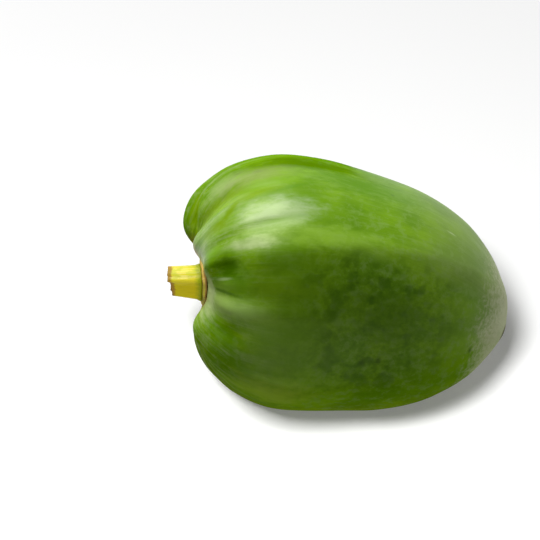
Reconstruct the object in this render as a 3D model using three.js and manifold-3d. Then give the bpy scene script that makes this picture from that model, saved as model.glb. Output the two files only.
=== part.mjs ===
// A green papaya as picked, lying on its side: the fruit, the dry calyx collar and the cut stalk stub.
// Millimetres, +Z up. +X runs from the stalk end to the blossom end. The fruit rests on z = 0, and the
// origin is under the middle of its bounding box.

import * as THREE from 'three';
import { mergeVertices } from 'three/addons/utils/BufferGeometryUtils.js';
import Module from 'manifold-3d';

const degrees = THREE.MathUtils.degToRad;

// Fruit: overall form
const FRUIT_LENGTH = 161.5; // along the axis, from the plane of the shoulder to the blossom scar
const SEAT_DEPTH = 8.5; // how far the flat stalk seat lies below the shoulder
const SEAT_RADIUS = 12.5;
const SEAT_OFFSET = 1.4; // how far the seat lies off the axis, towards BEND_SIDE
const SCAR_RADIUS = 5; // flat, dry blossom scar

// Half of the lengthwise section, as [distance along the axis, radius], from the seat's rim to the scar's rim
const HALF_SECTION = [
  [SEAT_DEPTH, SEAT_RADIUS],
  [6, 17],
  [2.5, 21.5],
  [1, 29],
  [4, 40],
  [11, 49.5],
  [23, 58.8],
  [41, 64.5],
  [62, 64],
  [84, 60.2],
  [106, 55.6],
  [126, 47.4],
  [140, 37.4],
  [150, 26.6],
  [157.5, 14.6],
  [FRUIT_LENGTH, SCAR_RADIUS],
];

// Fruit: the axis sags along a circular arc, towards the side that lies opposite BEND_SIDE
const BEND = degrees(23.5);
const BEND_SIDE = degrees(-50); // angles round the axis run from the top towards the front (-Y)

const SEAT_REACH = 0.14; // share of the section's length over which the skin follows the seat's offset

// Shares of the section's length, counted from the axis at the seat: the relief starts at the seat's rim,
// is full from RELIEF_FULL to FADE_START, and is gone by FADE_END
const SEAT_SHARE = 0.055;
const RELIEF_FULL = 0.15;
const FADE_START = 0.85;
const FADE_END = 0.97;

// Fruit: five soft ribs, high at the shoulder and faint along the body
const RIB_COUNT = 5;
const RIB_ANGLE = degrees(19);
const SHOULDER_RIB = 2.7;
const BODY_RIB = 0.6;
const SHOULDER_PLACE = 0.16;
const SHOULDER_REACH = 0.12;

// Fruit: one side is a little flatter towards the stalk and fuller towards the blossom end
const BELLY = 1.5;
const BELLY_SIDE = degrees(130);
const BELLY_START = 0.05;

// Fruit: one rib runs on as a soft edge along most of the body, and winds back from EDGE_TURN_START on
const EDGE = 3.9;
const EDGE_ANGLE = degrees(29);
const EDGE_TURN = degrees(36); // over the whole length of the section
const EDGE_TURN_START = 0.3;
const EDGE_REACH = degrees(15);
const EDGE_ROUND = degrees(2.6); // rounds off its ridge
const EDGE_FULL = 0.55;
const EDGE_END = 0.9;

// Fruit: creases and hollows, and swellings where the depth is below zero, as [angle, turn over the whole
// length, depth, half width as an angle, place as a share, reach towards the stalk, reach towards the
// blossom end]; angles in degrees
const CREASES = [
  [-33, -110, 3.2, 5, 0.13, 1, 0.06],
  [-19, 60, 2.4, 6, 0.16, 1, 0.17],
  [13, -40, 0.8, 3.2, 0.33, 0.12, 0.07],
  [31, 0, 2.4, 7, 0.225, 0.035, 0.045],
  [38, 0, 1.3, 34, 0.12, 0.05, 0.05],
  [46, 0, 0.6, 4, 0.2, 0.1, 0.16],
  [54, 0, -2.4, 13, 0.16, 1, 0.12],
  [54, 0, -0.7, 4, 0.24, 0.1, 0.17],
  [68, -40, 0.9, 5, 0.24, 0.06, 0.08],
  [-5, 0, -6, 16, 0.105, 0.05, 0.05],
  [85, 0, -5, 18, 0.11, 0.05, 0.05],
  [-30, 0, 1.5, 16, 0.5, 0.16, 0.18],
  [58, 0, 2.2, 20, 0.905, 0.06, 0.06],
  [-2, 0, -3, 24, 0.93, 0.06, 0.05],
  [124, 0, 1.5, 18, 0.31, 0.12, 0.16],
  [127, 0, 0.5, 8, 0.16, 1, 0.14],
  [199, 0, 1.6, 8, 0.16, 1, 0.16],
  [271, 0, 1.4, 8, 0.16, 1, 0.16],
];

// Fruit: the shoulder is lower on two opposite sides than on the other two, like an uneven saddle
const SADDLE_DEPTH = 12;
const SADDLE_TILT = 1; // how much deeper the saddle is on the far side, and shallower on the near one
const SADDLE_SIDE = degrees(40);
const SADDLE_START = 0.045;
const SADDLE_FULL = 0.14;
const SADDLE_REACH = 0.26;

// Fruit: how it lies, and the small flat that it settles on
const PITCH = degrees(2.5); // blossom end down
const YAW = degrees(6.4);
const FLAT_DEPTH = 1;

// Fruit: faces
const FACES_ALONG = 32;
const FACES_AROUND = 90;

// Calyx collar, on the seat
const PIECE_GAP = 0.3;
const CALYX_THICKNESS = 2.2;
const CALYX_RADIUS = 10;
const CALYX_POINT = 2.4; // how far its five points reach past that radius
const CALYX_POINTS = 5;
const CALYX_FACES = 60;

// Stalk stub, five-angled, with a flared foot
const STEM_LENGTH = 15.5;
const STEM_FOOT_RADIUS = 10.2;
const STEM_FOOT_LENGTH = 2.5;
const STEM_BASE_RADIUS = 9.4;
const STEM_END_RADIUS = 8.1;
const STEM_ANGLES = 5;
const STEM_TWIST = degrees(20); // turns one edge of the stub towards the front
const STEM_LEAN = degrees(4.5); // its free end leans towards BEND_SIDE

const skin = new THREE.MeshStandardMaterial({ color: 0x4f7d12, roughness: 0.38, metalness: 0 });
const dryCalyx = new THREE.MeshStandardMaterial({ color: 0xb9934f, roughness: 0.85, metalness: 0 });
const stalk = new THREE.MeshStandardMaterial({ color: 0xc9c23a, roughness: 0.5, metalness: 0 });

// A point of the fruit from its place along the axis, its radius, its angle from BEND_SIDE and its offset.
function bentPoint(along, radius, around, offset) {
  const arcRadius = FRUIT_LENGTH / BEND;
  const turn = along / arcRadius;
  const outward = radius * Math.cos(around) + offset;
  return new THREE.Vector3(
    (arcRadius + outward) * Math.sin(turn),
    -radius * Math.sin(around),
    (arcRadius + outward) * Math.cos(turn) - arcRadius,
  );
}

// The turn from one angle to another, the short way round.
function turnFrom(start, end) {
  return Math.atan2(Math.sin(end - start), Math.cos(end - start));
}

// Height of the ribs, edge, belly, creases and swellings above the plain section.
function relief(share, around) {
  const shoulder = Math.exp(-(((share - SHOULDER_PLACE) / SHOULDER_REACH) ** 2));
  const body = Math.sqrt(Math.abs(Math.sin(Math.PI * share)));
  const rib = BODY_RIB * body + (SHOULDER_RIB - BODY_RIB) * shoulder;
  const belly = -BELLY * Math.sin(2 * Math.PI * (share - BELLY_START));
  let height = rib * Math.cos(RIB_COUNT * (around - RIB_ANGLE));
  height += belly * (0.5 + 0.5 * Math.cos(around - BELLY_SIDE)) ** 2;
  const edgeAngle = EDGE_ANGLE - EDGE_TURN * Math.max(share - EDGE_TURN_START, 0);
  const edge = EDGE * Math.exp(-Math.hypot(turnFrom(edgeAngle, around), EDGE_ROUND) / EDGE_REACH);
  height += edge * (1 - THREE.MathUtils.smoothstep(share, EDGE_FULL, EDGE_END));
  for (const [angle, turn, depth, width, place, before, after] of CREASES) {
    const past = share - place;
    const across = turnFrom(degrees(angle + turn * past), around) / degrees(width);
    const along = Math.min(past, 0) / before + Math.max(past, 0) / after;
    height -= depth * Math.exp(-(across ** 2) - along ** 2);
  }
  const rise = THREE.MathUtils.smoothstep(share, SEAT_SHARE, RELIEF_FULL);
  const fade = 1 - THREE.MathUtils.smoothstep(share, FADE_START, FADE_END);
  return height * rise * fade;
}

// How far the shoulder drops back along the axis, for the saddle.
function saddle(share, around) {
  const side = Math.cos(around - SADDLE_SIDE);
  const depth = (SADDLE_DEPTH - SADDLE_TILT * side) * side ** 2;
  const rise = THREE.MathUtils.smoothstep(share, SADDLE_START, SADDLE_FULL);
  return depth * rise * Math.exp(-((share / SADDLE_REACH) ** 2));
}

// The section's samples, each with its outward normal and its share of the section's length.
function sectionSamples() {
  const knots = HALF_SECTION.map(([along, radius]) => new THREE.Vector3(along, radius, 0));
  const curve = new THREE.CatmullRomCurve3(knots, false, 'catmullrom', 0.5);
  const samples = [{ place: new THREE.Vector3(SEAT_DEPTH, 0, 0), normal: new THREE.Vector3(-1, 0, 0) }];
  for (let i = 0; i <= FACES_ALONG; i += 1) {
    const tangent = curve.getTangent(i / FACES_ALONG);
    samples.push({
      place: curve.getPoint(i / FACES_ALONG),
      normal: new THREE.Vector3(-tangent.y, tangent.x, 0),
    });
  }
  samples.push({ place: new THREE.Vector3(FRUIT_LENGTH, 0, 0), normal: new THREE.Vector3(1, 0, 0) });
  let length = 0;
  samples.forEach((sample, i) => {
    length += i === 0 ? 0 : sample.place.distanceTo(samples[i - 1].place);
    sample.distance = length;
  });
  samples.forEach((sample) => {
    sample.share = sample.distance / length;
  });
  return samples;
}

// The fruit's skin: the section turned round the axis, then ribbed, creased and bent.
function fruitSkin() {
  const samples = sectionSamples();
  const outline = samples.map((sample) => new THREE.Vector2(sample.place.y, sample.place.x));
  const geometry = new THREE.LatheGeometry(outline, FACES_AROUND);
  const position = geometry.getAttribute('position');
  for (let step = 0; step <= FACES_AROUND; step += 1) {
    const around = (step / FACES_AROUND) * 2 * Math.PI;
    samples.forEach((sample, row) => {
      const height = relief(sample.share, around);
      const along = sample.place.x + sample.normal.x * height + saddle(sample.share, around);
      const radius = sample.place.y + sample.normal.y * height;
      const offset = SEAT_OFFSET * Math.exp(-((sample.share / SEAT_REACH) ** 2));
      const point = bentPoint(along, radius, around - BEND_SIDE, offset);
      position.setXYZ(step * samples.length + row, point.x, point.y, point.z);
    });
  }
  return geometry;
}

function solidOf(wasm, geometry) {
  const bare = geometry.clone();
  bare.deleteAttribute('normal');
  bare.deleteAttribute('uv');
  const merged = mergeVertices(bare);
  return new wasm.Manifold(
    new wasm.Mesh({
      numProp: 3,
      vertProperties: new Float32Array(merged.getAttribute('position').array),
      triVerts: new Uint32Array(merged.index.array),
    }),
  );
}

function geometryOf(solid) {
  const mesh = solid.getMesh();
  const geometry = new THREE.BufferGeometry();
  geometry.setAttribute('position', new THREE.BufferAttribute(mesh.vertProperties, mesh.numProp));
  geometry.setIndex(new THREE.BufferAttribute(mesh.triVerts, 1));
  geometry.computeVertexNormals();
  return geometry;
}

// The fruit as it lies, with the flat it settles on.
function fruitGeometry(wasm, lie) {
  const geometry = fruitSkin().applyMatrix4(lie);
  geometry.computeBoundingBox();
  const { min, max } = geometry.boundingBox;
  const size = max.clone().sub(min);
  const kept = new THREE.BoxGeometry(2 * size.x, 2 * size.y, 2 * size.z);
  kept.translate((min.x + max.x) / 2, (min.y + max.y) / 2, min.z + FLAT_DEPTH + size.z);
  return geometryOf(solidOf(wasm, geometry).intersect(solidOf(wasm, kept)));
}

// The dry collar: a thin five-pointed disc, from x = -PIECE_GAP outwards.
function calyxGeometry() {
  const outline = [];
  for (let i = 0; i < CALYX_FACES; i += 1) {
    const around = (i / CALYX_FACES) * 2 * Math.PI;
    const point = Math.abs(Math.cos((CALYX_POINTS * around) / 2)) ** 6;
    const radius = CALYX_RADIUS + CALYX_POINT * point;
    outline.push(new THREE.Vector2(radius * Math.cos(around), radius * Math.sin(around)));
  }
  const disc = new THREE.Shape(outline);
  const geometry = new THREE.ExtrudeGeometry(disc, { depth: CALYX_THICKNESS, bevelEnabled: false });
  return geometry.rotateY(-Math.PI / 2).translate(-PIECE_GAP, 0, 0);
}

// The stalk stub: a tapered five-sided prism with a flared foot, from x = 0 outwards.
function stemGeometry() {
  const outline = [
    new THREE.Vector2(0, 0),
    new THREE.Vector2(STEM_FOOT_RADIUS, 0),
    new THREE.Vector2(STEM_BASE_RADIUS, STEM_FOOT_LENGTH),
    new THREE.Vector2(STEM_END_RADIUS, STEM_LENGTH),
    new THREE.Vector2(0, STEM_LENGTH),
  ];
  const lean = new THREE.Matrix4().makeShear(0, -Math.tan(STEM_LEAN), 0, 0, 0, 0);
  const geometry = new THREE.LatheGeometry(outline, STEM_ANGLES);
  return geometry.rotateZ(Math.PI / 2).rotateX(STEM_TWIST).applyMatrix4(lean);
}

function named(name, geometry, material) {
  const mesh = new THREE.Mesh(geometry, material);
  mesh.name = name;
  return mesh;
}

const wasm = await Module();
wasm.setup();

const lie = new THREE.Matrix4().makeRotationFromEuler(new THREE.Euler(BEND_SIDE, PITCH, YAW, 'ZYX'));
const fruit = named('fruit', fruitGeometry(wasm, lie), skin);

// The crown stands on the seat: its own -X axis points out of the seat.
const crown = new THREE.Group();
crown.position.copy(bentPoint(SEAT_DEPTH, 0, 0, SEAT_OFFSET));
crown.rotation.y = (SEAT_DEPTH / FRUIT_LENGTH) * BEND;
const calyx = named('calyx', calyxGeometry(), dryCalyx);
const stem = named('stem', stemGeometry(), stalk);
stem.position.x = -(2 * PIECE_GAP + CALYX_THICKNESS);
crown.add(calyx, stem);

const lying = new THREE.Group();
lying.applyMatrix4(lie);
lying.add(crown);

const papaya = new THREE.Group();
papaya.add(fruit, lying);
papaya.updateMatrixWorld(true);
const bounds = new THREE.Box3().setFromObject(papaya, true);
papaya.position.set(-(bounds.min.x + bounds.max.x) / 2, -(bounds.min.y + bounds.max.y) / 2, -bounds.min.z);

export default papaya;
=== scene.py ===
import math

import bmesh
import bpy
from mathutils import Euler, Matrix, Vector, noise


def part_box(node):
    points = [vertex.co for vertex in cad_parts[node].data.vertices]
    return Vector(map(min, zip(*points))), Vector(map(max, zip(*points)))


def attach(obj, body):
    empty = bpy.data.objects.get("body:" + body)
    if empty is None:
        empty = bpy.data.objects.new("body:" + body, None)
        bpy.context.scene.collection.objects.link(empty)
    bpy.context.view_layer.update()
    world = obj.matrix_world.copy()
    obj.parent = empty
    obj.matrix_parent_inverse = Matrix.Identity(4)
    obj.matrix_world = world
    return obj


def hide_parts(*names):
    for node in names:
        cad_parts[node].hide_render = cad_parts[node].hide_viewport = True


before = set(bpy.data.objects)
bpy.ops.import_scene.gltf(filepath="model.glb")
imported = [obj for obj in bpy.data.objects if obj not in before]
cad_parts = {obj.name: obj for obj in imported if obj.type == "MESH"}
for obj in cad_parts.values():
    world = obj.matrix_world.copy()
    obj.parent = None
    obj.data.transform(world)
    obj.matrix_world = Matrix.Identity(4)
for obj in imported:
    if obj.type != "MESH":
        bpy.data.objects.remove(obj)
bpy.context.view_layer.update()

# A whole green papaya as picked, lying on its side: waxy skin, dry calyx collar, cut stalk stub.
# Metres, +Z up. Angles round the fruit and the stalk run from the top towards the front (-Y).

mm = 0.001
degrees = math.radians
fruitLow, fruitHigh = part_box("fruit")
fruitCentre = (fruitLow + fruitHigh) / 2


def linear(hexColour):
    channels = [int(hexColour[i:i + 2], 16) / 255 for i in (0, 2, 4)]
    return (*(c / 12.92 if c <= 0.04045 else ((c + 0.055) / 1.055) ** 2.4 for c in channels), 1)


def addNode(tree, kind, links=None, **settings):
    # links holds a socket or a plain value for each input, by name or by number
    node = tree.nodes.new(kind)
    for name, value in settings.items():
        setattr(node, name, value)
    for key, value in (links or {}).items():
        if isinstance(value, bpy.types.NodeSocket):
            tree.links.new(value, node.inputs[key])
        else:
            node.inputs[key].default_value = value
    return node


def newMaterial(name):
    material = bpy.data.materials.new(name)
    material.use_nodes = True
    material.node_tree.nodes.clear()
    return material, material.node_tree


def finishPiece(piece, node):
    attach(piece, "root")
    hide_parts(node)
    print("made", piece.name, len(piece.data.polygons), "faces")


studio = {
    "elevation": degrees(50),
    "distance": 1.0,
    "lens": 133.33,
    "sensor": 36,
    "nearest": 0.05,
    "aim": (-37.97 * mm, 7.07 * mm),  # from the fruit's middle, to the right and up in the view
    # softboxes, as (name, elevation, azimuth, distance, width, height, brightness of the cloth,
    # what it lights)
    "softboxes": (("key softbox", degrees(52), degrees(122), 1.3, 0.85, 0.85, 10.8, "all but the floor"),
                  ("rear softbox", degrees(25), degrees(14), 1.5, 1.0, 0.7, 2.4, "all but the floor"),
                  ("floor softbox", degrees(62), degrees(244), 1.5, 0.34, 0.34, 84.0, "the floor alone"),
                  ("stalk card", degrees(20), degrees(255), 1.0, 0.4, 0.4, 7.0, "the stalk alone")),
    "fill": 0.1,
    "backdropTop": 0.2,  # where the pale backdrop ends, as the height of a direction
    "floorColour": "e6e6e6",
    "floorGlow": 0.18,
    "glowGrows": (0.25, 1.2),  # distances between which the paper's glow comes up to full
    "floorBounce": "aeaeae",  # the paper as the fruit's underside sees it
    "floorReach": 12.0,
}

elevation = studio["elevation"]
towards = Vector((0, -math.cos(elevation), math.sin(elevation)))
upwards = Vector((0, math.sin(elevation), math.cos(elevation)))
target = fruitCentre + Vector((1, 0, 0)) * studio["aim"][0] + upwards * studio["aim"][1]
cameraData = bpy.data.cameras.new("camera")
cameraData.lens = studio["lens"]
cameraData.sensor_width = studio["sensor"]
cameraData.clip_start = studio["nearest"]
camera = bpy.data.objects.new("camera", cameraData)
camera.location = target + towards * studio["distance"]
camera.rotation_euler = towards.to_track_quat("Z", "Y").to_euler()
bpy.context.scene.collection.objects.link(camera)
bpy.context.scene.camera = camera

world = bpy.data.worlds.new("studio")
bpy.context.scene.world = world
world.use_nodes = True
sky = world.node_tree
sky.nodes.clear()
floorMaterial, paperTree = newMaterial("white paper sweep, matt")  # matt white: no gloss, soft shadow
seen = {}
for tree in (sky, paperTree):
    rays = addNode(tree, "ShaderNodeLightPath")
    seen[tree] = rays.outputs["Is Camera Ray"]
    for name in ("Is Glossy Ray", "Is Transmission Ray"):
        seen[tree] = addNode(tree, "ShaderNodeMath", {0: seen[tree], 1: rays.outputs[name]},
                             operation="MAXIMUM").outputs[0]

direction = addNode(sky, "ShaderNodeTexCoord").outputs["Generated"]
direction = addNode(sky, "ShaderNodeSeparateXYZ", {0: direction})
backdrop = addNode(sky, "ShaderNodeMapRange", {0: direction.outputs[2], 1: studio["backdropTop"],
                                               2: studio["backdropTop"] / 2, 4: 1 - studio["fill"]},
                   interpolation_type="SMOOTHSTEP")
shade = addNode(sky, "ShaderNodeMath", {0: seen[sky], 1: backdrop.outputs[0], 2: studio["fill"]},
                operation="MULTIPLY_ADD")
glow = addNode(sky, "ShaderNodeBackground", {"Strength": shade.outputs[0]})
addNode(sky, "ShaderNodeOutputWorld", {0: glow.outputs[0]})

# the paper's glow grows with the distance from the fruit, where the lamps no longer reach
place = addNode(paperTree, "ShaderNodeTexCoord").outputs["Object"]
away = addNode(paperTree, "ShaderNodeVectorMath", {0: place}, operation="LENGTH")
near, far = studio["glowGrows"]
ramp = addNode(paperTree, "ShaderNodeMapRange", {0: away.outputs["Value"], 1: near, 2: far,
                                                 3: studio["floorGlow"], 4: 1.0},
               interpolation_type="SMOOTHSTEP")
lift = addNode(paperTree, "ShaderNodeMath", {0: seen[paperTree], 1: ramp.outputs[0]}, operation="MULTIPLY")
shown = addNode(paperTree, "ShaderNodeMix", {0: seen[paperTree], 6: linear(studio["floorBounce"]),
                                             7: linear(studio["floorColour"])}, data_type="RGBA")
paper = addNode(paperTree, "ShaderNodeBsdfDiffuse", {"Color": shown.outputs[2]})
lit = addNode(paperTree, "ShaderNodeEmission", {"Strength": lift.outputs[0]})
both = addNode(paperTree, "ShaderNodeAddShader", {0: paper.outputs[0], 1: lit.outputs[0]})
addNode(paperTree, "ShaderNodeOutputMaterial", {0: both.outputs[0]})

floorMesh = bpy.data.meshes.new("floor")
reach = studio["floorReach"]
floorMesh.from_pydata([(-reach, -reach, 0), (reach, -reach, 0), (reach, reach, 0), (-reach, reach, 0)],
                      [], [(0, 1, 2, 3)])
floorMesh.materials.append(floorMaterial)
floor = bpy.data.objects.new("floor", floorMesh)
bpy.context.scene.collection.objects.link(floor)

# the floor has a lamp of its own and the others pass it by, so that the fruit's shadow stays close to it;
# a card lights the shaded side of the stalk
lampTargets = {name: bpy.data.collections.new(name)
               for name in ("all but the floor", "the floor alone", "the stalk alone")}
for name, state in (("all but the floor", "EXCLUDE"), ("the floor alone", "INCLUDE")):
    lampTargets[name].objects.link(floor)
    lampTargets[name].collection_objects[0].light_linking.link_state = state
for name, height, azimuth, distance, wide, tall, brightness, targets in studio["softboxes"]:
    lampData = bpy.data.lights.new(name, "AREA")
    lampData.shape = "RECTANGLE"
    lampData.size, lampData.size_y = wide, tall
    lampData.energy = math.pi * wide * tall * brightness
    lamp = bpy.data.objects.new(name, lampData)
    outwards = Vector((math.cos(height) * math.cos(azimuth), math.cos(height) * math.sin(azimuth),
                       math.sin(height)))
    lamp.location = fruitCentre + outwards * distance
    lamp.rotation_euler = outwards.to_track_quat("Z", "Y").to_euler()
    lamp.light_linking.receiver_collection = lampTargets[targets]
    bpy.context.scene.collection.objects.link(lamp)
bpy.context.scene.view_settings.view_transform = "Standard"
print("studio ready")


fruit = {
    "length": 161.5 * mm,
    # half of the lengthwise section, as (distance along the axis, radius), from the seat to the scar
    "section": ((8.7, 0), (8.6, 7), (8.4, 11), (7.6, 14), (6, 17), (2.5, 21.5), (1, 29), (4, 40), (11, 49.5),
                (23, 58.8), (41, 64.5), (62, 64), (84, 60.2), (106, 55.6), (126, 47.4), (140, 37.4),
                (150, 26.6), (157.5, 14.6), (161.2, 5.6), (161.3, 4.4), (160.9, 3), (160.7, 0)),
    "rowsBetweenCorners": 32,
    "rowsAlong": 250,
    "rowsAround": 376,
    "bend": degrees(23.5),
    "bendSide": degrees(-50),
    "seatDepth": 8.5 * mm,
    "seatOffset": 1.4 * mm,
    "seatReach": 0.14,  # all reaches along the fruit are shares of the section
    "ribCount": 5,
    "ribAngle": degrees(19),
    "shoulderRib": 2.7 * mm,
    "shoulderPlace": 0.16,
    "shoulderReach": 0.12,
    "bodyRib": 0.6 * mm,
    "belly": 1.5 * mm,
    "bellySide": degrees(130),
    "bellyStart": 0.05,
    "saddle": 12 * mm,
    "saddleTilt": 1 * mm,
    "saddleSide": degrees(40),
    "saddleReach": 0.26,
    "lie": (degrees(-50), degrees(2.5), degrees(6.4)),
    "flat": 1 * mm,
    "weld": 0.02 * mm,
    "seed": 4.0,
    # creases and hollows, and swellings where the depth is below zero, as (angle, turn along the fruit,
    # depth, half width, place, reach towards the stalk and towards the blossom end, share of own colour)
    "creases": ((-33, -110, 3.2, 5, 0.13, 1, 0.06, 1),
                (-19, 60, 2.4, 6, 0.16, 1, 0.17, 1),
                (13, -40, 0.8, 3.2, 0.33, 0.12, 0.07, 0.6),
                (31, 0, 2.4, 7, 0.225, 0.035, 0.045, 0),
                (38, 0, 1.3, 34, 0.12, 0.05, 0.05, 0),
                (46, 0, 0.6, 4, 0.2, 0.1, 0.16, 0.5),
                (54, 0, -2.4, 13, 0.16, 1, 0.12, 0.6),
                (54, 0, -0.7, 4, 0.24, 0.1, 0.17, 0.6),
                (68, -40, 0.9, 5, 0.24, 0.06, 0.08, 1),
                (89, 20, 0.35, 2.5, 0.35, 0.1, 0.1, 0.5),
                (-5, 0, -6, 16, 0.105, 0.05, 0.05, 0),
                (85, 0, -5, 18, 0.11, 0.05, 0.05, 0),
                (-30, 0, 1.5, 16, 0.5, 0.16, 0.18, 0),
                (58, 0, 2.2, 20, 0.905, 0.06, 0.06, 0),
                (-2, 0, -3, 24, 0.93, 0.06, 0.05, 0),
                (124, 0, 1.5, 18, 0.31, 0.12, 0.16, 0),
                (127, 0, 0.5, 8, 0.16, 1, 0.14, 1),
                (199, 0, 1.6, 8, 0.16, 1, 0.16, 1),
                (271, 0, 1.4, 8, 0.16, 1, 0.16, 1)),
    "edge": 3.9 * mm,
    "edgeAngle": degrees(29),
    "edgeReach": degrees(15),
    "edgeRound": degrees(2.6),
    "edgeTurn": degrees(36),  # the edge winds back at this rate, over the whole section
    "edgeTurnStart": 0.3,  # and starts to at this share
    "unevenness": 0.5 * mm,
    "wrinkle": 0.5 * mm,
    "wrinkleReach": 0.33,
    # soft steps between two shares: relief and saddle start at the seat, all relief is gone at the scar
    "softSteps": (("rise", 0.055, 0.15), ("saddleRise", 0.045, 0.14), ("fade", 0.97, 0.85),
                  ("edgeRise", 0.9, 0.55)),
}


def bell(term, name):
    # steps that make e to the power of minus the square of a term
    return [(term, "MULTIPLY", term, term), (term, "MULTIPLY", term, -1.0), (name, "EXPONENT", term)]


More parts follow.
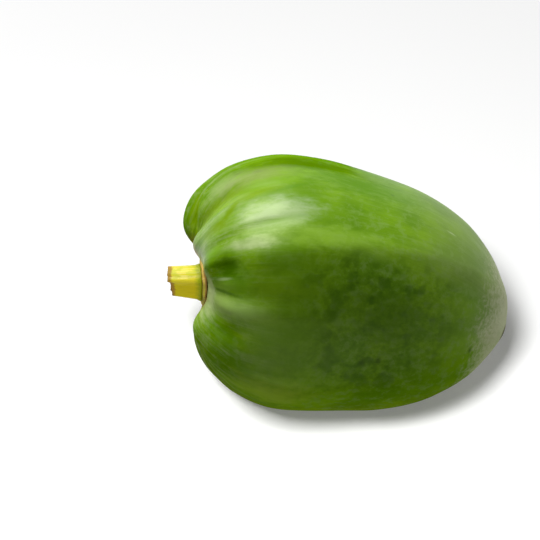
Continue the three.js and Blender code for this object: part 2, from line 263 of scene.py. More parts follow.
def fruitTree(skin):
    # builds the fruit from its section; returns the tree and its sizes by socket identifier
    tree = bpy.data.node_groups.new("papaya form", "GeometryNodeTree")
    tree.interface.new_socket("Geometry", in_out="OUTPUT", socket_type="NodeSocketGeometry")
    tree.interface.new_socket("Section", in_out="INPUT", socket_type="NodeSocketGeometry")
    sockets = {}
    apart = ("section", "seatDepth", "creases", "softSteps")
    sizes = {key: size for key, size in fruit.items() if key not in apart}
    sizes.update(lowCorner=fruitLow, highCorner=fruitHigh, skin=skin)
    kinds = {int: "Int", float: "Float", tuple: "Vector", Vector: "Vector"}
    for key, size in sizes.items():
        words = "".join(" " + letter.lower() if letter.isupper() else letter for letter in key)
        item = tree.interface.new_socket(words.capitalize(), in_out="INPUT",
                                         socket_type="NodeSocket" + kinds.get(type(size), "Material"))
        sockets[item.identifier] = size
    given = addNode(tree, "NodeGroupInput").outputs

    # a flat grid: one side runs along the section, the other goes once round
    spline = addNode(tree, "GeometryNodeMeshToCurve", {0: given["Section"]})
    spline = addNode(tree, "GeometryNodeCurveSplineType", {0: spline.outputs[0]}, spline_type="CATMULL_ROM")
    spline = addNode(tree, "GeometryNodeSetSplineResolution", {0: spline.outputs[0],
                                                               2: given["Rows between corners"]})
    grid = addNode(tree, "GeometryNodeMeshGrid", {0: 1.0, 1: 1.0, 2: given["Rows along"],
                                                  3: given["Rows around"]})
    corner = addNode(tree, "GeometryNodeInputPosition")
    corner = addNode(tree, "ShaderNodeSeparateXYZ", {0: corner.outputs[0]})
    share = addNode(tree, "ShaderNodeMath", {0: corner.outputs[0], 1: 0.5}, operation="ADD")
    around = addNode(tree, "ShaderNodeMath", {0: corner.outputs[1], 1: 2 * math.pi}, operation="MULTIPLY")
    sample = addNode(tree, "GeometryNodeSampleCurve", {0: spline.outputs[0], 2: share.outputs[0]},
                     mode="FACTOR")
    place = addNode(tree, "ShaderNodeSeparateXYZ", {0: sample.outputs["Position"]})
    tangent = addNode(tree, "ShaderNodeSeparateXYZ", {0: sample.outputs["Tangent"]})
    cosine = addNode(tree, "ShaderNodeMath", {0: around.outputs[0]}, operation="COSINE")
    sine = addNode(tree, "ShaderNodeMath", {0: around.outputs[0]}, operation="SINE")
    skinPlace = addNode(tree, "ShaderNodeCombineXYZ", {0: cosine.outputs[0], 1: sine.outputs[0],
                                                       2: share.outputs[0]})

    value = {socket.name: socket for socket in given if socket.name}
    value.update(share=share.outputs[0], around=around.outputs[0], s=place.outputs[0], r=place.outputs[1],
                 ts=tangent.outputs[0], tr=tangent.outputs[1])
    for name, low, high in fruit["softSteps"]:
        value[name] = addNode(tree, "ShaderNodeMapRange", {0: share.outputs[0], 1: low, 2: high},
                              interpolation_type="SMOOTHSTEP").outputs[0]
    # unevenness of a few tenths of a millimetre, and fine lengthwise wrinkles
    for name, stretch, detail in (("uneven", (2.2, 2.2, 7.0), 3.0), ("lines", (7.5, 7.5, 4.0), 1.0)):
        stretched = addNode(tree, "ShaderNodeVectorMath", {0: skinPlace.outputs[0], 1: stretch},
                            operation="MULTIPLY")
        value[name] = addNode(tree, "ShaderNodeTexNoise",
                              {"Vector": stretched.outputs[0], "W": given["Seed"], "Scale": 1.0,
                               "Detail": detail, "Roughness": 0.5}, noise_dimensions="4D").outputs[0]

    steps = [
        # soft ribs: high at the shoulder, faint along the body
        ("a", "SUBTRACT", "share", "Shoulder place"),
        ("a", "DIVIDE", "a", "Shoulder reach"),
        *bell("a", "shoulder"),
        ("a", "MULTIPLY", "share", math.pi),
        ("a", "SINE", "a"),
        ("a", "ABSOLUTE", "a"),
        ("body", "SQRT", "a"),
        ("body", "MULTIPLY", "body", "Body rib"),
        ("a", "SUBTRACT", "Shoulder rib", "Body rib"),
        ("rib", "MULTIPLY_ADD", "a", "shoulder", "body"),
        ("a", "SUBTRACT", "around", "Rib angle"),
        ("a", "MULTIPLY", "a", "Rib count"),
        ("a", "COSINE", "a"),
        ("height", "MULTIPLY", "rib", "a"),
        # one rib is a soft edge along most of the fruit
        ("a", "SUBTRACT", "share", "Edge turn start"),
        ("a", "MAXIMUM", "a", 0.0),
        ("a", "MULTIPLY_ADD", "a", "Edge turn", "around"),
        ("a", "SUBTRACT", "a", "Edge angle"),
        ("a", "WRAP", "a", math.pi, -math.pi),
        ("a", "MULTIPLY", "a", "a"),
        ("b", "MULTIPLY", "Edge round", "Edge round"),
        ("a", "ADD", "a", "b"),
        ("a", "SQRT", "a"),
        ("a", "DIVIDE", "a", "Edge reach"),
        ("a", "MULTIPLY", "a", -1.0),
        ("a", "EXPONENT", "a"),
        ("a", "MULTIPLY", "a", "Edge"),
        ("height", "MULTIPLY_ADD", "a", "edgeRise", "height"),
        # one side fuller towards the blossom end
        ("a", "SUBTRACT", "share", "Belly start"),
        ("a", "MULTIPLY", "a", 2 * math.pi),
        ("a", "SINE", "a"),
        ("a", "MULTIPLY", "a", "Belly"),
        ("b", "SUBTRACT", "around", "Belly side"),
        ("b", "COSINE", "b"),
        ("b", "MULTIPLY_ADD", "b", 0.5, 0.5),
        ("b", "MULTIPLY", "b", "b"),
        ("a", "MULTIPLY", "a", "b"),
        ("height", "SUBTRACT", "height", "a"),
        ("groove", "MULTIPLY", "share", 0.0),
        ("tone", "MULTIPLY", "share", 0.0),
    ]
    for angle, lean, depth, width, centre, before, after, tone in fruit["creases"]:
        steps += [
            ("d", "SUBTRACT", "share", centre),
            ("a", "MULTIPLY_ADD", "d", degrees(-lean), "around"),
            ("a", "SUBTRACT", "a", degrees(angle)),
            ("a", "WRAP", "a", math.pi, -math.pi),
            ("a", "DIVIDE", "a", degrees(width)),
            ("a", "MULTIPLY", "a", "a"),
            ("b", "MINIMUM", "d", 0.0),
            ("b", "DIVIDE", "b", before),
            ("d", "MAXIMUM", "d", 0.0),
            ("b", "MULTIPLY_ADD", "d", 1 / after, "b"),
            ("b", "MULTIPLY", "b", "b"),
            ("a", "ADD", "a", "b"),
            ("a", "MULTIPLY", "a", -1.0),
            ("a", "EXPONENT", "a"),
            ("groove", "MULTIPLY_ADD", "a", depth * mm, "groove"),
            ("tone", "MULTIPLY_ADD", "a", depth * tone, "tone"),
        ]
    steps += [
        ("height", "SUBTRACT", "height", "groove"),
        ("height", "MULTIPLY", "height", "rise"),
        ("height", "MULTIPLY", "height", "fade"),
        ("a", "SUBTRACT", "uneven", 0.5),
        ("a", "MULTIPLY", "a", "Unevenness"),
        ("a", "MULTIPLY", "a", 2.0),
        ("a", "MULTIPLY", "a", "fade"),
        ("a", "MULTIPLY", "a", "rise"),
        ("height", "ADD", "height", "a"),
        ("a", "SUBTRACT", "lines", 0.5),
        ("a", "MULTIPLY", "a", "Wrinkle"),
        ("b", "DIVIDE", "share", "Wrinkle reach"),
        *bell("b", "b"),
        ("a", "MULTIPLY", "a", "b"),
        ("a", "MULTIPLY", "a", "rise"),
        ("a", "MULTIPLY", "a", 2.0),
        ("height", "ADD", "height", "a"),
        # the saddle drops two opposite sides of the shoulder back along the axis
        ("side", "SUBTRACT", "around", "Saddle side"),
        ("side", "COSINE", "side"),
        ("a", "MULTIPLY", "side", "Saddle tilt"),
        ("a", "SUBTRACT", "Saddle", "a"),
        ("a", "MULTIPLY", "a", "side"),
        ("a", "MULTIPLY", "a", "side"),
        ("b", "DIVIDE", "share", "Saddle reach"),
        *bell("b", "b"),
        ("a", "MULTIPLY", "a", "b"),
        ("saddle", "MULTIPLY", "a", "saddleRise"),
        ("a", "MULTIPLY", "tr", "height"),
        ("along", "SUBTRACT", "s", "a"),
        ("along", "ADD", "along", "saddle"),
        ("radius", "MULTIPLY_ADD", "ts", "height", "r"),
        # the axis bends along an arc
        ("b", "DIVIDE", "share", "Seat reach"),
        *bell("b", "b"),
        ("offset", "MULTIPLY", "b", "Seat offset"),
        ("a", "SUBTRACT", "around", "Bend side"),
        ("b", "COSINE", "a"),
        ("a", "SINE", "a"),
        ("y", "MULTIPLY", "radius", "a"),
        ("y", "MULTIPLY", "y", -1.0),
        ("outward", "MULTIPLY_ADD", "radius", "b", "offset"),
        ("arc", "DIVIDE", "Length", "Bend"),
        ("turn", "DIVIDE", "along", "arc"),
        ("outward", "ADD", "outward", "arc"),
        ("a", "SINE", "turn"),
        ("x", "MULTIPLY", "outward", "a"),
        ("a", "COSINE", "turn"),
        ("z", "MULTIPLY", "outward", "a"),
        ("z", "SUBTRACT", "z", "arc"),
    ]
    for name, operation, *terms in steps:
        links = {i: value.get(term, term) for i, term in enumerate(terms)}
        value[name] = addNode(tree, "ShaderNodeMath", links, operation=operation).outputs[0]
    point = addNode(tree, "ShaderNodeCombineXYZ", {0: value["x"], 1: value["y"], 2: value["z"]})
    geometry = addNode(tree, "GeometryNodeStoreNamedAttribute",
                       {"Geometry": grid.outputs[0], "Name": "skinPlace", "Value": skinPlace.outputs[0]},
                       data_type="FLOAT_VECTOR")
    geometry = addNode(tree, "GeometryNodeStoreNamedAttribute",
                       {"Geometry": geometry.outputs[0], "Name": "grooveTone", "Value": value["tone"]},
                       data_type="FLOAT")
    for kind, links in (("GeometryNodeSetPosition", {2: point.outputs[0]}),
                        ("GeometryNodeMergeByDistance", {2: given["Weld"]}),
                        ("GeometryNodeFlipFaces", {}),
                        ("GeometryNodeTransform", {2: given["Lie"]})):
        geometry = addNode(tree, kind, {0: geometry.outputs[0], **links})

    # the flat it rests on
    box = addNode(tree, "GeometryNodeBoundBox", {0: geometry.outputs[0]})
    lowest = addNode(tree, "ShaderNodeSeparateXYZ", {0: box.outputs["Min"]})
    level = addNode(tree, "ShaderNodeMath", {0: lowest.outputs[2], 1: given["Flat"]}, operation="ADD")
    here = addNode(tree, "GeometryNodeInputPosition")
    lowLimit = addNode(tree, "ShaderNodeCombineXYZ", {0: -1.0, 1: -1.0, 2: level.outputs[0]})
    raised = addNode(tree, "ShaderNodeVectorMath", {0: here.outputs[0], 1: lowLimit.outputs[0]},
                     operation="MAXIMUM")
    geometry = addNode(tree, "GeometryNodeSetPosition", {0: geometry.outputs[0], 2: raised.outputs[0]})

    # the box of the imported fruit
    box = addNode(tree, "GeometryNodeBoundBox", {0: geometry.outputs[0]})
    wanted = addNode(tree, "ShaderNodeVectorMath", {0: given["High corner"], 1: given["Low corner"]},
                     operation="SUBTRACT")
    had = addNode(tree, "ShaderNodeVectorMath", {0: box.outputs["Max"], 1: box.outputs["Min"]},
                  operation="SUBTRACT")
    scale = addNode(tree, "ShaderNodeVectorMath", {0: wanted.outputs[0], 1: had.outputs[0]},
                    operation="DIVIDE")
    fromLow = addNode(tree, "ShaderNodeVectorMath",
                      {0: addNode(tree, "GeometryNodeInputPosition").outputs[0], 1: box.outputs["Min"]},
                      operation="SUBTRACT")
    fitted = addNode(tree, "ShaderNodeVectorMath",
                     {0: fromLow.outputs[0], 1: scale.outputs[0], 2: given["Low corner"]},
                     operation="MULTIPLY_ADD")
    for kind, links in (("GeometryNodeSetPosition", {2: fitted.outputs[0]}),
                        ("GeometryNodeSetShadeSmooth", {}),
                        ("GeometryNodeRealizeInstances", {}),
                        ("GeometryNodeSetMaterial", {2: given["Skin"]})):
        geometry = addNode(tree, kind, {0: geometry.outputs[0], **links})
    addNode(tree, "NodeGroupOutput", {0: geometry.outputs[0]})
    return tree, sockets


skinLook = {
    "leaf": "75a00c",
    "deep": "4f7c05",
    "dark": "305800",
    "valley": "86aa06",
    # bloomAndSheen: the wax bloom's pale grey green; on the ribs and in the streaks by the stalk it is also a
    # painted highlight
    "bloomAndSheen": "a5b87c",
    "olive": "7c8a18",
    "cloud": "7d9f4a",
    "greyed": "6c7c36",
    # haze and tipHazeAndSheen: pale grey towards the blossom end, partly the skin's dull haze and partly a
    # painted reflection of the white surroundings, on a tip that faces away from the key softbox
    "haze": "aab084",
    "tipHazeAndSheen": "c6cca2",
    "cork": "a98a50",
    "scar": "2b2315",
    "tipRagged": 0.12,  # how far the edge of the pale tip wanders, as a share of the section
    "markRagged": 1.6,  # and the edges of the marks, in half sizes
    "markEdge": (2.0, 0.9),
    "gloss": (0.30, 0.37),  # roughness
    "tipDull": 0.1,
    "shine": 0.5,
    "shineFades": (0.098, 0.058),  # heights between which the sheen goes
    "clearLoss": 0.9,  # how much of its sheen a clear stripe loses
    "ior": 1.4,
    "tint": (0.85, 1.0, 0.45, 1),
    "relief": (("streak", 0.14), ("fineStreak", 0.07), ("cloud", 0.04), ("pore", 0.012)),
    "bumpStrength": 0.7,
    "bumpDepth": 1.5 * mm,
    # marks, as (angle, share of the section, half width in degrees, half length as a share, turn along the
    # fruit, colour, most)
    "marks": ((-27, 0.25, 8, 0.07, 0, "9fb570", 0.65),
              # darker green strip along the top edge: partly the skin's deeper green, partly painted shade
              (-31, 0.41, 9, 0.17, 0, "4c7000", 0.85),
              (-7.5, 0.38, 1.6, 0.05, -70, "55860a", 0.6),
              # the next two pale marks are painted highlights: milky patches where the key softbox's
              # reflection falls on the shoulder
              (7, 0.345, 10, 0.1, 0, "d2dec2", 0.36),
              (22.3, 0.29, 4.2, 0.07, 0, "d2e2a8", 0.57),
              # brighter green on the top facet above the edge: painted light
              (19, 0.47, 7, 0.15, 0, "93bd3a", 0.5),
              # dark line along the crease at 13 degrees: painted shade in the crease
              (12, 0.35, 1.6, 0.06, -40, "55860a", 0.55),
              (24, 0.195, 7, 0.035, 0, "78ac00", 0.9),
              (38, 0.235, 12, 0.07, 0, "5f9000", 0.85),
              (25, 0.235, 4.5, 0.04, 0, "7cb000", 0.85),
              # dark green in the hollow of the dimple at 31 degrees: painted shade
              (31.8, 0.23, 8.5, 0.052, 0, "446c00", 0.95),
              (41, 0.205, 5, 0.06, 0, "84a83a", 0.5),
              (37.5, 0.215, 1.2, 0.03, 0, "b9cf90", 0.55),
              (51, 0.20, 8, 0.055, 0, "a0be58", 0.55),
              # dark line in the crease at 46 degrees: painted shade in the crease
              (45, 0.21, 1.5, 0.07, 39, "2f5a00", 0.55),
              (63.5, 0.2, 7, 0.05, 0, "7dab00", 0.8),
              (73, 0.2, 11, 0.07, 0, "5d8e00", 0.65),
              # pale band beside the collar: wax bloom and painted sheen
              (46, 0.123, 40, 0.046, 0, "b4c684", 0.9),
              (-4, 0.104, 30, 0.03, 0, "a87434", 0.8),
              (48, 0.60, 20, 0.15, 0, "345c00", 0.6),
              (-17.8, 0.578, 1.3, 0.006, 0, "34500c", 0.8),
              (-5.7, 0.70, 0.9, 0.014, 0, "b2c48e", 0.45),
              # pale tip facet: partly its own haze, partly a painted reflection that keeps it bright where it
              # faces away from the key softbox
              (18, 0.93, 40, 0.06, 0, "d2d8b2", 0.7),
              (52, 0.975, 60, 0.02, 0, "2b2315", 0.9),
              (-21, 0.31, 8, 0.1, 0, "8a8c5e", 0.4),
              (-12, 0.33, 4.5, 0.1, 0, "6c9a08", 0.6),
              (53, 0.27, 6, 0.09, 0, "a4cc60", 0.5),
              (60, 0.37, 13, 0.1, 0, "7aa81e", 0.35),
              (97, 0.36, 13, 0.13, 0, "9db939", 0.6),
              (73.4, 0.556, 3.6, 0.010, 0, "1f3d08", 0.7),
              (71.5, 0.592, 2.4, 0.010, 0, "1f3d08", 0.65),
              (65, 0.82, 3.5, 0.009, 0, "2c4410", 0.6),
              (150, 0.62, 3.0, 0.012, 0, "2c4410", 0.6),
              (-60, 0.55, 2.6, 0.014, 0, "2c4410", 0.6),
              (-95, 0.75, 3.0, 0.012, 0, "2c4410", 0.6)),
    # the same for stripes that have lost their bloom, and so their sheen
    "clearMarks": ((5.5, 0.213, 6.2, 0.05, 0, "6f9200", 0.95),
                   (0, 0.25, 5.2, 0.045, -230, "6f9200", 0.95),
                   (-6, 0.3, 4, 0.065, -40, "76990a", 0.85),
                   (12.5, 0.34, 2.2, 0.045, 0, "7fa63c", 0.5),
                   (-19, 0.51, 13, 0.13, 0, "568400", 0.9)),
}


def skinMaterial():
    # papaya skin, unripe and waxy: a thin cuticle over leaf green, so a soft satin gloss with a milky bloom
    # on the ribs that is partly a painted highlight, clearer green in the furrows and cloudy flecks and a
    # pale haze, partly a painted reflection, towards the blossom end
    material, tree = newMaterial("papaya skin, green and waxy")
    look = skinLook
    onSkin = addNode(tree, "ShaderNodeAttribute", attribute_name="skinPlace").outputs["Vector"]
    groove = addNode(tree, "ShaderNodeAttribute", attribute_name="grooveTone").outputs["Fac"]
    inFruit = addNode(tree, "ShaderNodeTexCoord").outputs["Object"]
    axes = addNode(tree, "ShaderNodeSeparateXYZ", {0: onSkin})
    height = addNode(tree, "ShaderNodeSeparateXYZ", {0: inFruit}).outputs[2]
    share = axes.outputs[2]
    around = addNode(tree, "ShaderNodeMath", {0: axes.outputs[1], 1: axes.outputs[0]},
                     operation="ARCTAN2").outputs[0]

    # noises, as (name, space, stretch, detail, roughness): round and along the fruit, or in its own metres
    noises = {}
    for name, space, stretch, detail, roughness in (
            ("mottle", onSkin, (2.4, 2.4, 7.0), 4.0, 0.55),
            ("streak", onSkin, (8.0, 8.0, 3.2), 6.0, 0.7),
            ("fineStreak", onSkin, (26.0, 26.0, 9.0), 4.0, 0.65),
            ("brush", onSkin, (16.0, 16.0, 130.0), 3.0, 0.6),
            ("ragged", onSkin, (14.0, 14.0, 26.0), 4.0, 0.65),
            ("pore", inFruit, (1400.0,) * 3, 1.0, 0.5),  # about 0.7 mm across
            ("cloud", inFruit, (230.0,) * 3, 5.0, 0.7),  # 4 mm
            ("blotch", inFruit, (85.0,) * 3, 3.0, 0.55),  # 12 mm
            ("patch", inFruit, (38.0,) * 3, 2.0, 0.5)):  # 26 mm
        stretched = addNode(tree, "ShaderNodeVectorMath", {0: space, 1: stretch}, operation="MULTIPLY")
        noises[name] = addNode(tree, "ShaderNodeTexNoise",
                               {"Vector": stretched.outputs[0], "Scale": 1.0, "Detail": detail,
                                "Roughness": roughness}).outputs[0]

    # the pale tip has a ragged edge of short dashes
    tipShare = share
    for name in ("brush", "cloud"):
        tipShare = addNode(tree, "ShaderNodeMath", {0: noises[name], 1: look["tipRagged"], 2: tipShare},
                           operation="MULTIPLY_ADD").outputs[0]

    # masks from 0 to 1, each a soft step between two values of one quantity
    masks = {}
    for name, source, low, high in (
            ("deep", noises["mottle"], 0.38, 0.62),
            ("bloomAndSheen", noises["streak"], 0.50, 0.60),
            ("clear", noises["streak"], 0.48, 0.38),
            ("lines", noises["fineStreak"], 0.48, 0.38),
            ("paleLines", noises["fineStreak"], 0.52, 0.62),
            ("brush", noises["brush"], 0.48, 0.62),
            ("cloud", noises["cloud"], 0.48, 0.63),
            ("dapple", noises["cloud"], 0.52, 0.36),
            ("blotch", noises["blotch"], 0.48, 0.62),
            ("upper", height, 0.045, 0.075),
            # keeps the pale haze and its painted reflection off the lower front and the underside
            ("hazeAndSheenSide", around, 1.35, 0.9),
            ("besideStalk", share, 0.34, 0.24),
            ("facing", around, 0.3, 0.5),
            ("far", around, -0.22, -0.5),
            ("stalkHalf", share, 0.6, 0.5),
            ("patch", noises["patch"], 0.42, 0.62),
            ("furrow", groove, 0.2, 1.6),
            ("crest", groove, -0.1, -1.5),
            ("front", around, 0.30, 0.55),
            ("back", around, -0.6, -0.95),
            ("nearStalk", share, 0.42, 0.12),
            ("pastMiddle", share, 0.30, 0.55),
            ("middle", share, 0.85, 0.62),
            ("farHalf", share, 0.55, 0.75),
            ("nearTip", share, 0.77, 0.88),
            ("tip", tipShare, 0.925, 1.045),
            ("scar", share, 0.978, 0.985),
            ("seat", share, 0.125, 0.075),
            ("under", height, 0.055, 0.015)):
        masks[name] = addNode(tree, "ShaderNodeMapRange", {0: source, 1: low, 2: high},
                              interpolation_type="SMOOTHSTEP").outputs[0]

    masks["sides"] = addNode(tree, "ShaderNodeMath", {0: masks["front"], 1: masks["back"]},
                             operation="MAXIMUM").outputs[0]
    masks["crown"] = addNode(tree, "ShaderNodeMath", {0: 1.0, 1: masks["sides"]},
                             operation="SUBTRACT").outputs[0]

    # how much of each colour is laid on, in turn: (colour, most, masks that it is multiplied by)
    colour = linear(look["leaf"])
    for name, most, parts in (
            ("deep", 0.55, ("deep",)),
            ("deep", 0.60, ("patch", "pastMiddle", "middle")),
            ("olive", 0.75, ("under",)),
            ("cloud", 0.58, ("cloud", "pastMiddle", "sides")),
            ("dark", 0.60, ("blotch", "pastMiddle", "middle", "sides", "upper")),
            ("dark", 0.40, ("dapple", "pastMiddle", "middle", "sides", "upper")),
            ("cloud", 0.25, ("paleLines", "crown", "pastMiddle")),
            ("deep", 0.25, ("lines", "crown", "pastMiddle")),
            ("cloud", 0.45, ("cloud", "crown", "pastMiddle")),
            ("greyed", 0.35, ("crown", "farHalf")),
            # pale haze towards the blossom end: partly the skin's own haze, partly painted reflection
            ("haze", 0.60, ("brush", "nearTip", "hazeAndSheenSide")),
            ("haze", 0.35, ("nearTip", "hazeAndSheenSide")),
            ("haze", 0.30, ("cloud", "nearTip", "hazeAndSheenSide")),
            ("haze", 0.30, ("paleLines", "nearTip", "hazeAndSheenSide")),
            ("valley", 0.55, ("clear", "nearStalk")),
            # pale streaks by the stalk: wax bloom and painted highlight
            ("bloomAndSheen", 0.55, ("bloomAndSheen", "nearStalk")),
            ("deep", 0.42, ("lines", "nearStalk")),
            ("bloomAndSheen", 0.22, ("paleLines", "nearStalk")),
            ("deep", 0.35, ("dapple", "nearStalk")),
            ("bloomAndSheen", 0.25, ("cloud", "nearStalk")),
            ("valley", 0.65, ("furrow",)),
            # pale bloom on the crests: wax bloom and painted highlight
            ("bloomAndSheen", 0.50, ("crest",)),
            ("deep", 0.45, ("lines", "furrow")),
            # the pale tip: partly its own haze, partly painted reflection
            ("tipHazeAndSheen", 0.88, ("tip",)),
            ("cloud", 0.25, ("cloud", "tip")),
            ("cork", 0.65, ("seat",)),
            ("scar", 0.92, ("scar",))):
        amount = most
        for part in parts:
            amount = addNode(tree, "ShaderNodeMath", {0: masks[part], 1: amount},
                             operation="MULTIPLY").outputs[0]
        colour = addNode(tree, "ShaderNodeMix", {0: amount, 6: colour, 7: linear(look[name])},
                         data_type="RGBA").outputs[2]

    # single marks with ragged edges
    spot = addNode(tree, "ShaderNodeCombineXYZ", {0: around, 1: share}).outputs[0]
    sheen = 1.0
    for mark in look["marks"] + look["clearMarks"]:
        angle, part, wide, tall, turn, shade, most = mark
        middle = (degrees(angle - turn * part), part, 0)
        turned = spot
        if turn:
            across = addNode(tree, "ShaderNodeMath", {0: share, 1: -degrees(turn), 2: around},
                             operation="MULTIPLY_ADD")
            turned = addNode(tree, "ShaderNodeCombineXYZ", {0: across.outputs[0], 1: share}).outputs[0]
        away = addNode(tree, "ShaderNodeVectorMath", {0: turned, 1: middle}, operation="SUBTRACT")
        halfSizes = (1 / degrees(wide), 1 / tall, 0)
        away = addNode(tree, "ShaderNodeVectorMath", {0: away.outputs[0], 1: halfSizes}, operation="MULTIPLY")
        away = addNode(tree, "ShaderNodeVectorMath", {0: away.outputs[0]}, operation="LENGTH")
        away = addNode(tree, "ShaderNodeMath",
                       {0: noises["ragged"], 1: look["markRagged"], 2: away.outputs["Value"]},
                       operation="MULTIPLY_ADD")
        outside, inside = look["markEdge"]
        amount = addNode(tree, "ShaderNodeMapRange", {0: away.outputs[0], 1: outside, 2: inside, 4: most},
                         interpolation_type="SMOOTHSTEP")
        colour = addNode(tree, "ShaderNodeMix", {0: amount.outputs[0], 6: colour, 7: linear(shade)},
                         data_type="RGBA").outputs[2]
        if mark in look["clearMarks"]:
            kept = addNode(tree, "ShaderNodeMath", {0: amount.outputs[0], 1: -look["clearLoss"], 2: 1.0},
                           operation="MULTIPLY_ADD")
            sheen = addNode(tree, "ShaderNodeMath", {0: kept.outputs[0], 1: sheen},
                            operation="MULTIPLY").outputs[0]

    glossiest, dullest = look["gloss"]
    gloss = addNode(tree, "ShaderNodeMapRange",
                    {0: noises["cloud"], 1: 0.3, 2: 0.7, 3: glossiest, 4: dullest})
    gloss = addNode(tree, "ShaderNodeMath", {0: masks["pastMiddle"], 1: look["tipDull"], 2: gloss.outputs[0]},
                    operation="MULTIPLY_ADD")
    # the sheen goes down the sides, in the hollow beside the stalk and behind the shoulder
    high, low = look["shineFades"]
    shine = addNode(tree, "ShaderNodeMapRange", {0: height, 1: high, 2: low, 3: look["shine"], 4: 0.0},
                    interpolation_type="SMOOTHSTEP")
    beside = addNode(tree, "ShaderNodeMath", {0: masks["besideStalk"], 1: masks["facing"]},
                     operation="MULTIPLY")
    behind = addNode(tree, "ShaderNodeMath", {0: masks["far"], 1: masks["stalkHalf"]}, operation="MULTIPLY")
    dim = addNode(tree, "ShaderNodeMath", {0: beside.outputs[0], 1: behind.outputs[0]}, operation="MAXIMUM")
    dim = addNode(tree, "ShaderNodeMath", {0: dim.outputs[0], 1: -1.0, 2: 1.0}, operation="MULTIPLY_ADD")
    for part in (dim.outputs[0], sheen):
        shine = addNode(tree, "ShaderNodeMath", {0: shine.outputs[0], 1: part}, operation="MULTIPLY")
    relief = 0.0
    for name, weight in look["relief"]:
        relief = addNode(tree, "ShaderNodeMath", {0: noises[name], 1: weight, 2: relief},
                         operation="MULTIPLY_ADD").outputs[0]
    bump = addNode(tree, "ShaderNodeBump",
                   {"Strength": look["bumpStrength"], "Distance": look["bumpDepth"], "Height": relief})
    shell = addNode(tree, "ShaderNodeBsdfPrincipled",
                    {"Base Color": colour, "Roughness": gloss.outputs[0], "IOR": look["ior"],
                     "Specular IOR Level": shine.outputs[0], "Specular Tint": look["tint"],
                     "Normal": bump.outputs[0]})
    addNode(tree, "ShaderNodeOutputMaterial", {0: shell.outputs[0]})
    return material


fruitSkin = skinMaterial()
sectionMesh = bpy.data.meshes.new("fruit")
corners = [(along * mm, radius * mm, 0) for along, radius in fruit["section"]]
sectionMesh.from_pydata(corners, [(i, i + 1) for i in range(len(corners) - 1)], [])
fruitPiece = bpy.data.objects.new("fruit_skin", sectionMesh)
bpy.context.scene.collection.objects.link(fruitPiece)
formTree, formInputs = fruitTree(fruitSkin)
modifier = fruitPiece.modifiers.new("form", "NODES")
modifier.node_group = formTree
for identifier, setting in formInputs.items():
    modifier[identifier] = setting
view = bpy.context.evaluated_depsgraph_get()
formMesh = bpy.data.meshes.new_from_object(fruitPiece.evaluated_get(view), depsgraph=view)
fruitPiece.modifiers.clear()
fruitPiece.data = formMesh
finishPiece(fruitPiece, "fruit")


# the stalk's own frame: it lies with the fruit and turns with the bend of its axis
seatTurn = fruit["bend"] * fruit["seatDepth"] / fruit["length"]
crown = Euler(fruit["lie"]).to_matrix() @ Matrix.Rotation(seatTurn, 3, "Y")


def ringPiece(name, rings, places, node, material, joined):
    # rings of points make a closed skin: ends closed by one point, or the last ring joined to the first
    count = max(len(ring) for ring in rings)
    points = [point for ring in rings for point in ring]
    faces = []
    starts = [sum(len(ring) for ring in rings[:i]) for i in range(len(rings))]
    pairs = list(zip(range(len(rings) - 1), range(1, len(rings))))
    if joined:
        pairs.append((len(rings) - 1, 0))
    for first, second in pairs:
        for i in range(count):
            j = (i + 1) % count
            corners = [starts[ring] + (corner if len(rings[ring]) > 1 else 0)
                       for ring, corner in ((first, i), (first, j), (second, j), (second, i))]
            faces.append(tuple(dict.fromkeys(corners)))
    turned = [crown @ Vector(point) for point in points]
    low = Vector([min(point[axis] for point in turned) for axis in range(3)])
    high = Vector([max(point[axis] for point in turned) for axis in range(3)])
    wantedLow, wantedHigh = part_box(node)
    scale = [(wantedHigh[axis] - wantedLow[axis]) / (high[axis] - low[axis]) for axis in range(3)]
    fitted = [[wantedLow[axis] + (point[axis] - low[axis]) * scale[axis] for axis in range(3)]
              for point in turned]
    mesh = bpy.data.meshes.new(name)
    mesh.from_pydata(fitted, [], faces)
    layer = mesh.attributes.new("place", "FLOAT_VECTOR", "POINT")
    layer.data.foreach_set("vector", [value for ring in places for place in ring for value in place])
    shaped = bmesh.new()
    shaped.from_mesh(mesh)
    bmesh.ops.recalc_face_normals(shaped, faces=shaped.faces)
    shaped.to_mesh(mesh)
    shaped.free()
    mesh.shade_smooth()
    mesh.materials.append(material)
    piece = bpy.data.objects.new(name, mesh)
    bpy.context.scene.collection.objects.link(piece)
    return piece


stalk = {
    "length": 15.5 * mm,
    "lean": degrees(4.5),
    # outline, as (distance from the foot, radius)
    "outline": ((0, 9.8), (0.2, 10.15), (0.7, 10.2), (1.5, 9.85), (2.5, 9.4), (15.5, 8.1)),
    # corners of the stub's section, as (angle, reach)
    "corners": ((-32, 0.98), (4, 1.0), (42, 1.0), (112, 1.0), (184, 1.0), (256, 1.0)),
    "softness": degrees(7),
    "facesAround": 180,
    "facesAlong": 90,
    "crowding": 1.3,  # above 1, the rows lie closer together at the foot
    "fibre": 0.16 * mm,
    "broad": 0.25 * mm,
    "step": 1.6 * mm,  # how much shorter the cut leaves its lower side
    "stepSide": degrees(110),
    "stepEdge": (0.36, 0.46),
    "slant": 1.1 * mm,
    "slantSide": degrees(40),
    "ragged": 0.5 * mm,
    # rows over the cut, as (distance in from the edge, how far it is sunk), then the pith's rows as shares
    # of the radius
    "rim": ((0.25, -0.12), (0.6, -0.1), (0.9, 0.25), (1.4, 0.8)),
    "pith": (0.72, 0.62, 0.52, 0.42, 0.32, 0.22, 0.12, 0.05),
    "pithDepth": 0.8 * mm,
    "pithMiddle": 1.1 * mm,
    "colour": "dfd132",
    "gloss": (0.42, 0.8),  # roughness of the fresh side and of the dry rim
    "shine": 0.2,
    "bumpDepth": 0.25 * mm,
}


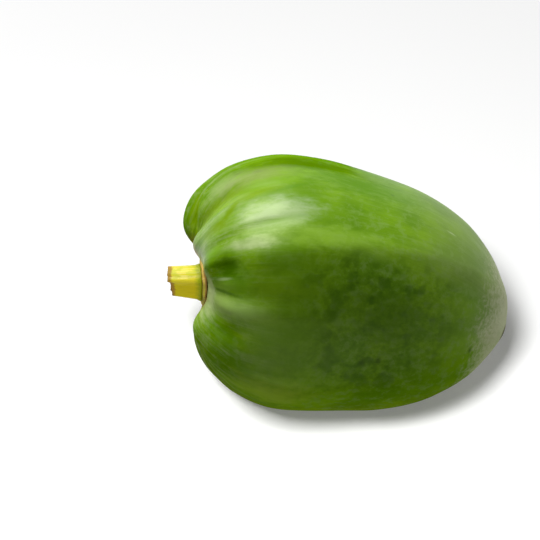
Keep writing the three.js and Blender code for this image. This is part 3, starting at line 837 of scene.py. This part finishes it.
def sectionReach(angle):
    # distance to the edge of the stub's many-cornered section, averaged over a few directions
    total = 0
    shifts = (-1, -0.5, 0, 0.5, 1)
    corners = [(degrees(turn), reach) for turn, reach in stalk["corners"]]
    for shift in shifts:
        here = angle + shift * stalk["softness"]
        for i, (start, reach) in enumerate(corners):
            end, nextReach = corners[(i + 1) % len(corners)]
            wide = (end - start) % (2 * math.pi)
            past = (here - start) % (2 * math.pi)
            if past < wide:
                total += reach * nextReach * math.sin(wide) / (
                    reach * math.sin(past) + nextReach * math.sin(wide - past))
                break
    return total / len(shifts)


def smoothStep(value, low, high):
    part = min(max((value - low) / (high - low), 0), 1)
    return part * part * (3 - 2 * part)


def noiseRound(angle, often, height):
    # unevenness that closes on itself once round; the height picks the place along the stalk
    return noise.noise((often * math.cos(angle), often * math.sin(angle), height))


def stalkPiece(material):
    count = stalk["facesAround"]
    angles = [2 * math.pi * i / count for i in range(count)]
    rings, places = [[(0, 0, 0)]], [[(0, 0, 0)]]
    outline = stalk["outline"]
    # rows, as (distance from the foot, scale of the section, how far it is sunk below the cut)
    rows = []
    for row in range(stalk["facesAlong"] + 1):
        along = outline[-1][0] * (row / stalk["facesAlong"]) ** stalk["crowding"]
        for (start, wide), (end, narrow) in zip(outline, outline[1:]):
            if along <= end:
                rows.append((along * mm, (wide + (narrow - wide) * (along - start) / (end - start)) * mm, 0))
                break
    end, wide = outline[-1][0] * mm, outline[-1][1] * mm
    rows += [(end, wide - inwards * mm, sunk * mm) for inwards, sunk in stalk["rim"]]
    rows += [(end, wide * part, stalk["pithDepth"] * (1 + 0.25 * (0.8 - part))) for part in stalk["pith"]]
    for along, radius, sunk in rows:
        ring, place = [], []
        for angle in angles:
            toCut = smoothStep(math.cos(angle - stalk["stepSide"]), *stalk["stepEdge"])
            ragged = stalk["ragged"] * (noiseRound(angle, 5, 3.1) - 0.2)
            slant = stalk["slant"] * (1 - math.cos(angle - stalk["slantSide"]))
            cut = stalk["length"] - stalk["step"] * toCut - slant + ragged
            distance = along * cut / stalk["length"] - sunk
            fibres = noiseRound(angle, 9, along / mm * 0.05 + 7)
            broad = noiseRound(angle, 1.8, along / mm * 0.12 + 2)
            share = radius / wide if along == end else 1
            reach = radius * sectionReach(angle) + share * (stalk["fibre"] * fibres + stalk["broad"] * broad)
            side = angle - fruit["bendSide"]
            ring.append((-distance, -reach * math.sin(side), reach * math.cos(side)
                         + math.tan(stalk["lean"]) * distance))
            place.append((math.cos(angle), math.sin(angle), along / stalk["length"] + 1 - share))
        rings.append(ring)
        places.append(place)
    rings.append([(-(stalk["length"] - stalk["pithMiddle"]), 0, math.tan(stalk["lean"]) * stalk["length"])])
    places.append([(0, 0, 2)])
    return ringPiece("stalk_stub", rings, places, "stem", material, False)


calyx = {
    "inner": 7.6 * mm,
    "radius": 10.4 * mm,
    "point": 2.0 * mm,
    "points": 5,
    "turn": degrees(10),
    "thickness": 2.0 * mm,
    "edgeThickness": 0.6 * mm,
    "crumple": 0.5 * mm,
    "crease": 0.15 * mm,
    "lift": 0.5 * mm,
    "facesAround": 240,
    "facesAcross": 16,
    "colour": "e6c25c",
    "gloss": (0.65, 0.85),
    "bumpDepth": 0.2 * mm,
}


def calyxPiece(material):
    count = calyx["facesAround"]
    rings, places = [], []
    across = calyx["facesAcross"]
    loop = [(i / across, 1) for i in range(across + 1)] + [(1 - i / across, -1) for i in range(across + 1)]
    for share, side in loop:
        ring, place = [], []
        for i in range(count):
            angle = 2 * math.pi * i / count
            tip = abs(math.cos(calyx["points"] * (angle - calyx["turn"]) / 2)) ** 5
            crumple = noiseRound(angle, 3, 1.5)
            crease = calyx["crease"] * noiseRound(angle, 12, 4.5 + share)
            outer = calyx["radius"] + calyx["point"] * tip + calyx["crumple"] * crumple + crease
            reach = calyx["inner"] + (outer - calyx["inner"]) * share
            thick = calyx["thickness"] + (calyx["edgeThickness"] - calyx["thickness"]) * share ** 3
            lift = calyx["lift"] * share ** 2 * (0.5 + tip) * (1 + crumple)
            height = lift + (thick + crease if side > 0 else 0)
            turn = angle - fruit["bendSide"]
            ring.append((-height, -reach * math.sin(turn), reach * math.cos(turn)))
            place.append((math.cos(angle), math.sin(angle), share))
        rings.append(ring)
        places.append(place)
    return ringPiece("calyx_collar", rings, places, "calyx", material, True)


def layColours(tree, colour, layers):
    # lays colours over one another, as (colour, most, quantity and the two values of its soft step)
    for shade, most, source, low, high in layers:
        amount = addNode(tree, "ShaderNodeMapRange", {0: source, 1: low, 2: high, 4: most},
                         interpolation_type="SMOOTHSTEP")
        colour = addNode(tree, "ShaderNodeMix", {0: amount.outputs[0], 6: colour, 7: linear(shade)},
                         data_type="RGBA").outputs[2]
    return colour


def stalkMaterial():
    # papaya stalk, fresh and drying at the cut: juicy yellow green with long fibres, satin; the cut end
    # is brown and matt, with paler pith
    material, tree = newMaterial("papaya stalk, fresh cut")
    place = addNode(tree, "ShaderNodeAttribute", attribute_name="place").outputs["Vector"]
    axes = addNode(tree, "ShaderNodeSeparateXYZ", {0: place})
    along = axes.outputs[2]
    noises = {}
    for name, stretch, detail in (("fibre", (9.0, 9.0, 0.7), 4.0), ("blotch", (2.2, 2.2, 3.0), 3.0),
                                  ("fine", (30.0, 30.0, 3.0), 2.0), ("ragged", (7.0, 7.0, 4.0), 3.0)):
        stretched = addNode(tree, "ShaderNodeVectorMath", {0: place, 1: stretch}, operation="MULTIPLY")
        noises[name] = addNode(tree, "ShaderNodeTexNoise", {"Vector": stretched.outputs[0], "Scale": 1.0,
                                                            "Detail": detail, "Roughness": 0.6}).outputs[0]
    ragged = addNode(tree, "ShaderNodeMath", {0: noises["ragged"], 1: 0.25, 2: along},
                     operation="MULTIPLY_ADD").outputs[0]
    colour = layColours(tree, linear(stalk["colour"]), (
        ("f2e88c", 0.6, noises["fibre"], 0.45, 0.62),
        ("bcc51c", 0.6, noises["blotch"], 0.42, 0.6),
        ("d2c200", 1.0, axes.outputs[1], 0.45, 0.85),  # the side that faces the front and down
        ("748c00", 0.8, ragged, 0.4, 0.15),
        ("96602f", 0.75, ragged, 0.98, 1.06),
        ("5e3320", 0.85, along, 0.985, 1.02),
        ("b99a5c", 0.75, along, 1.1, 1.25)))
    relief = addNode(tree, "ShaderNodeMath", {0: noises["fine"], 1: 0.5, 2: noises["fibre"]},
                     operation="MULTIPLY_ADD")
    bump = addNode(tree, "ShaderNodeBump",
                   {"Strength": 0.5, "Distance": stalk["bumpDepth"], "Height": relief.outputs[0]})
    fresh, dry = stalk["gloss"]
    gloss = addNode(tree, "ShaderNodeMapRange", {0: along, 1: 0.985, 2: 1.02, 3: fresh, 4: dry},
                    interpolation_type="SMOOTHSTEP")
    shell = addNode(tree, "ShaderNodeBsdfPrincipled",
                    {"Base Color": colour, "Roughness": gloss.outputs[0], "IOR": 1.4,
                     "Specular IOR Level": stalk["shine"], "Normal": bump.outputs[0]})
    addNode(tree, "ShaderNodeOutputMaterial", {0: shell.outputs[0]})
    return material


def calyxMaterial():
    # dry calyx: papery and matt, straw yellow with browner edges and creases, a darker olive green on its
    # lower side
    material, tree = newMaterial("dry calyx, papery")
    place = addNode(tree, "ShaderNodeAttribute", attribute_name="place").outputs["Vector"]
    axes = addNode(tree, "ShaderNodeSeparateXYZ", {0: place})
    share = axes.outputs[2]
    noises = {}
    for name, stretch in (("vein", (11.0, 11.0, 0.8)), ("patch", (3.0, 3.0, 2.0))):
        stretched = addNode(tree, "ShaderNodeVectorMath", {0: place, 1: stretch}, operation="MULTIPLY")
        noises[name] = addNode(tree, "ShaderNodeTexNoise", {"Vector": stretched.outputs[0], "Scale": 1.0,
                                                            "Detail": 4.0, "Roughness": 0.6}).outputs[0]
    colour = layColours(tree, linear(calyx["colour"]), (
        ("c09848", 0.7, noises["patch"], 0.5, 0.65),
        ("f0d9a4", 0.6, noises["vein"], 0.52, 0.66),
        ("8e8c12", 0.85, axes.outputs[1], 0.4, 0.85),
        ("8a5530", 0.6, share, 0.93, 1.0),
        ("6d3d22", 0.6, share, 0.2, 0.0)))
    bump = addNode(tree, "ShaderNodeBump",
                   {"Strength": 0.5, "Distance": calyx["bumpDepth"], "Height": noises["vein"]})
    smooth, rough = calyx["gloss"]
    gloss = addNode(tree, "ShaderNodeMapRange", {0: noises["patch"], 3: smooth, 4: rough})
    shell = addNode(tree, "ShaderNodeBsdfPrincipled",
                    {"Base Color": colour, "Roughness": gloss.outputs[0], "IOR": 1.45,
                     "Normal": bump.outputs[0]})
    addNode(tree, "ShaderNodeOutputMaterial", {0: shell.outputs[0]})
    return material


stub = stalkPiece(stalkMaterial())
finishPiece(stub, "stem")
collar = calyxPiece(calyxMaterial())
finishPiece(collar, "calyx")
for piece in (stub, collar):
    lampTargets["the stalk alone"].objects.link(piece)
